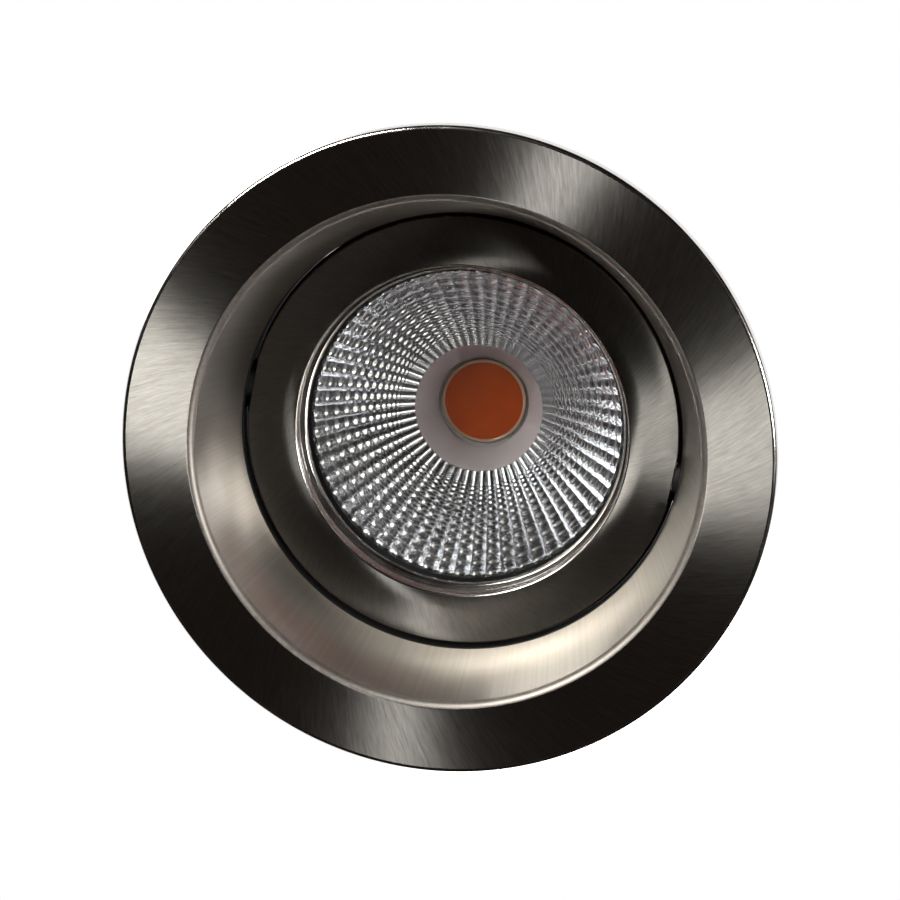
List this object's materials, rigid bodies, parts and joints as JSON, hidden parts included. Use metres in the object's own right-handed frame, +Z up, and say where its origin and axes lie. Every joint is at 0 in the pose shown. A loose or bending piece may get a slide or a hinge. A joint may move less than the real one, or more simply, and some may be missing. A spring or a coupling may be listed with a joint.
{
  "type": "soffit downlight",
  "caption": "Round recessed soffit downlight with a flat flange, tapered recess, tilting lamp ring behind glass, finned heat sink and spring clips.",
  "frame": {"origin": "centre of the gasket face that lies against the soffit", "axes": "+Z up into the soffit, the light leaves along -Z; X is the tilt axis; the spring clips stand at +Y and -Y"},
  "size_m": [0.092, 0.092, 0.0897],
  "materials": {
    "brushed_nickel": "brushed nickel, satin",
    "polished_nickel": "bright turned edge",
    "black_rubber": "matte",
    "zinc_steel": "bright zinc plate",
    "zinc_sheet": "zinc plated sheet",
    "spring_steel": "oiled spring wire",
    "nylon": "natural nylon",
    "clear_glass": "clear toughened glass",
    "metallised": "vacuum metallised, faceted",
    "white_plastic": "white moulding",
    "board_metal": "white lacquer on metal core",
    "dam_white": "pale silicone",
    "phosphor": "amber silicone",
    "grey_pad": "soft pad",
    "black_aluminium": "black anodised",
    "red_wire": "silicone insulation",
    "black_wire": "silicone insulation",
    "black_plastic": "fine texture",
    "brass": "plain"
  },
  "bodies": {
    "housing": {"trim_ring": "brushed_nickel", "soffit_gasket": "black_rubber", "pivot_screws": "zinc_steel", "pivot_washers": "nylon", "clip_bracket_right": "zinc_sheet", "clip_bracket_left": "zinc_sheet", "bracket_screws": "zinc_steel", "clip_axle_right": "zinc_steel", "clip_axle_left": "zinc_steel", "clip_spring_right": "spring_steel", "clip_spring_left": "spring_steel"},
    "lamp": {"gimbal_ring": "brushed_nickel", "bezel_ring": "polished_nickel", "glass_gasket": "black_rubber", "cover_glass": "clear_glass", "reflector": "metallised", "source_holder": "white_plastic", "holder_screws": "zinc_steel", "source_board": "board_metal", "source_dam": "dam_white", "phosphor_disc": "phosphor", "thermal_pad": "grey_pad", "heat_sink": "black_aluminium", "heat_sink_screws": "zinc_steel", "lead_red": "red_wire", "lead_black": "black_wire", "lead_grommets": "black_rubber", "cap_gasket": "black_rubber", "rear_cap": "black_plastic", "cap_screws": "zinc_steel", "terminal_block": "white_plastic", "terminal_screws": "brass", "gland_body": "black_plastic", "gland_locknut": "black_plastic", "gland_seal": "black_rubber", "gland_nut": "black_plastic"},
    "clip_right": {"clip_arm_right": "zinc_sheet", "clip_pad_right": "black_rubber"},
    "clip_left": {"clip_arm_left": "zinc_sheet", "clip_pad_left": "black_rubber"}
  },
  "joints": [
    {"name": "lamp_tilt", "type": "hinge", "parent": "housing", "child": "lamp", "pos_m": [0, 0, 0.0159], "axis": [1, 0, 0], "range_deg": [-20, 20]},
    {"name": "clip_right_fold", "type": "hinge", "parent": "housing", "child": "clip_right", "pos_m": [0, 0.0374, 0.024], "axis": [1, 0, 0], "range_deg": [0, 165], "stiffness_Nm_per_rad": 0.03, "springref_deg": -85.94, "deforming": ["clip_spring_right"]},
    {"name": "clip_left_fold", "type": "hinge", "parent": "housing", "child": "clip_left", "pos_m": [0, -0.0374, 0.024], "axis": [-1, 0, 0], "range_deg": [0, 165], "stiffness_Nm_per_rad": 0.03, "springref_deg": -85.94, "deforming": ["clip_spring_left"]}
  ]
}
